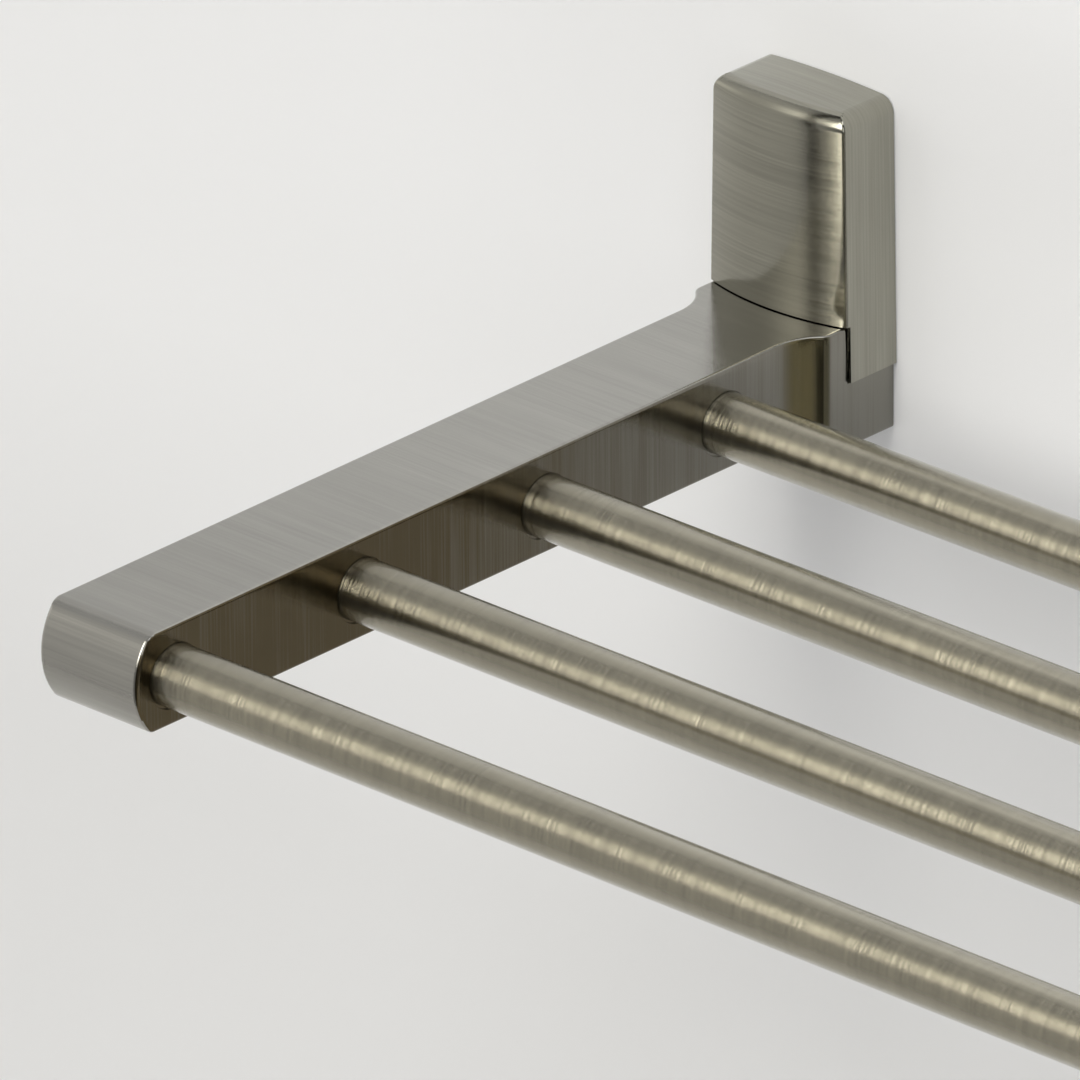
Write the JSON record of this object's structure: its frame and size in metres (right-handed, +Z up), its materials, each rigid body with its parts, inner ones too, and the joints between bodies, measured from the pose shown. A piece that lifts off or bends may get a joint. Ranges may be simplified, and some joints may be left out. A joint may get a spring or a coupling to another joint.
{
  "type": "towel shelf",
  "caption": "Wall-mounted towel shelf: round bars side by side between two end brackets with lift-off post covers that hide the wall screws.",
  "frame": {"origin": "the middle of the four wall fixings, on the plane of the wall", "axes": "+X along the bars, +Y into the wall, so the shelf stands on the -Y side, and +Z up"},
  "size_m": [0.6004, 0.2722, 0.0778],
  "materials": {
    "arm_metal": "brushed along the arm, aged brass, lacquered",
    "cover_metal": "brushed, aged brass, lacquered",
    "bar_metal": "finely turned, aged brass, lacquered",
    "plug_metal": "as turned",
    "grub_steel": "blackened",
    "screw_steel": "zinc plated",
    "nylon": "moulded"
  },
  "bodies": {
    "shelf": {"left_arm": "arm_metal", "right_arm": "arm_metal", "front_bar": "bar_metal", "second_bar": "bar_metal", "third_bar": "bar_metal", "rear_bar": "bar_metal", "left_bar_plugs": "plug_metal", "right_bar_plugs": "plug_metal", "left_grub_screws": "grub_steel", "right_grub_screws": "grub_steel", "left_wall_screws": "screw_steel", "right_wall_screws": "screw_steel", "left_washers": "screw_steel", "right_washers": "screw_steel", "left_wall_plugs": "nylon", "right_wall_plugs": "nylon", "left_cover_pads": "nylon", "right_cover_pads": "nylon"},
    "left_cover": {"left_cover": "cover_metal"},
    "right_cover": {"right_cover": "cover_metal"}
  },
  "joints": [
    {"name": "left_cover_lift", "type": "slide", "parent": "shelf", "child": "left_cover", "axis": [0, 0, 1], "range_m": [0, 0.06]},
    {"name": "right_cover_lift", "type": "slide", "parent": "shelf", "child": "right_cover", "axis": [0, 0, 1], "range_m": [0, 0.06]}
  ]
}
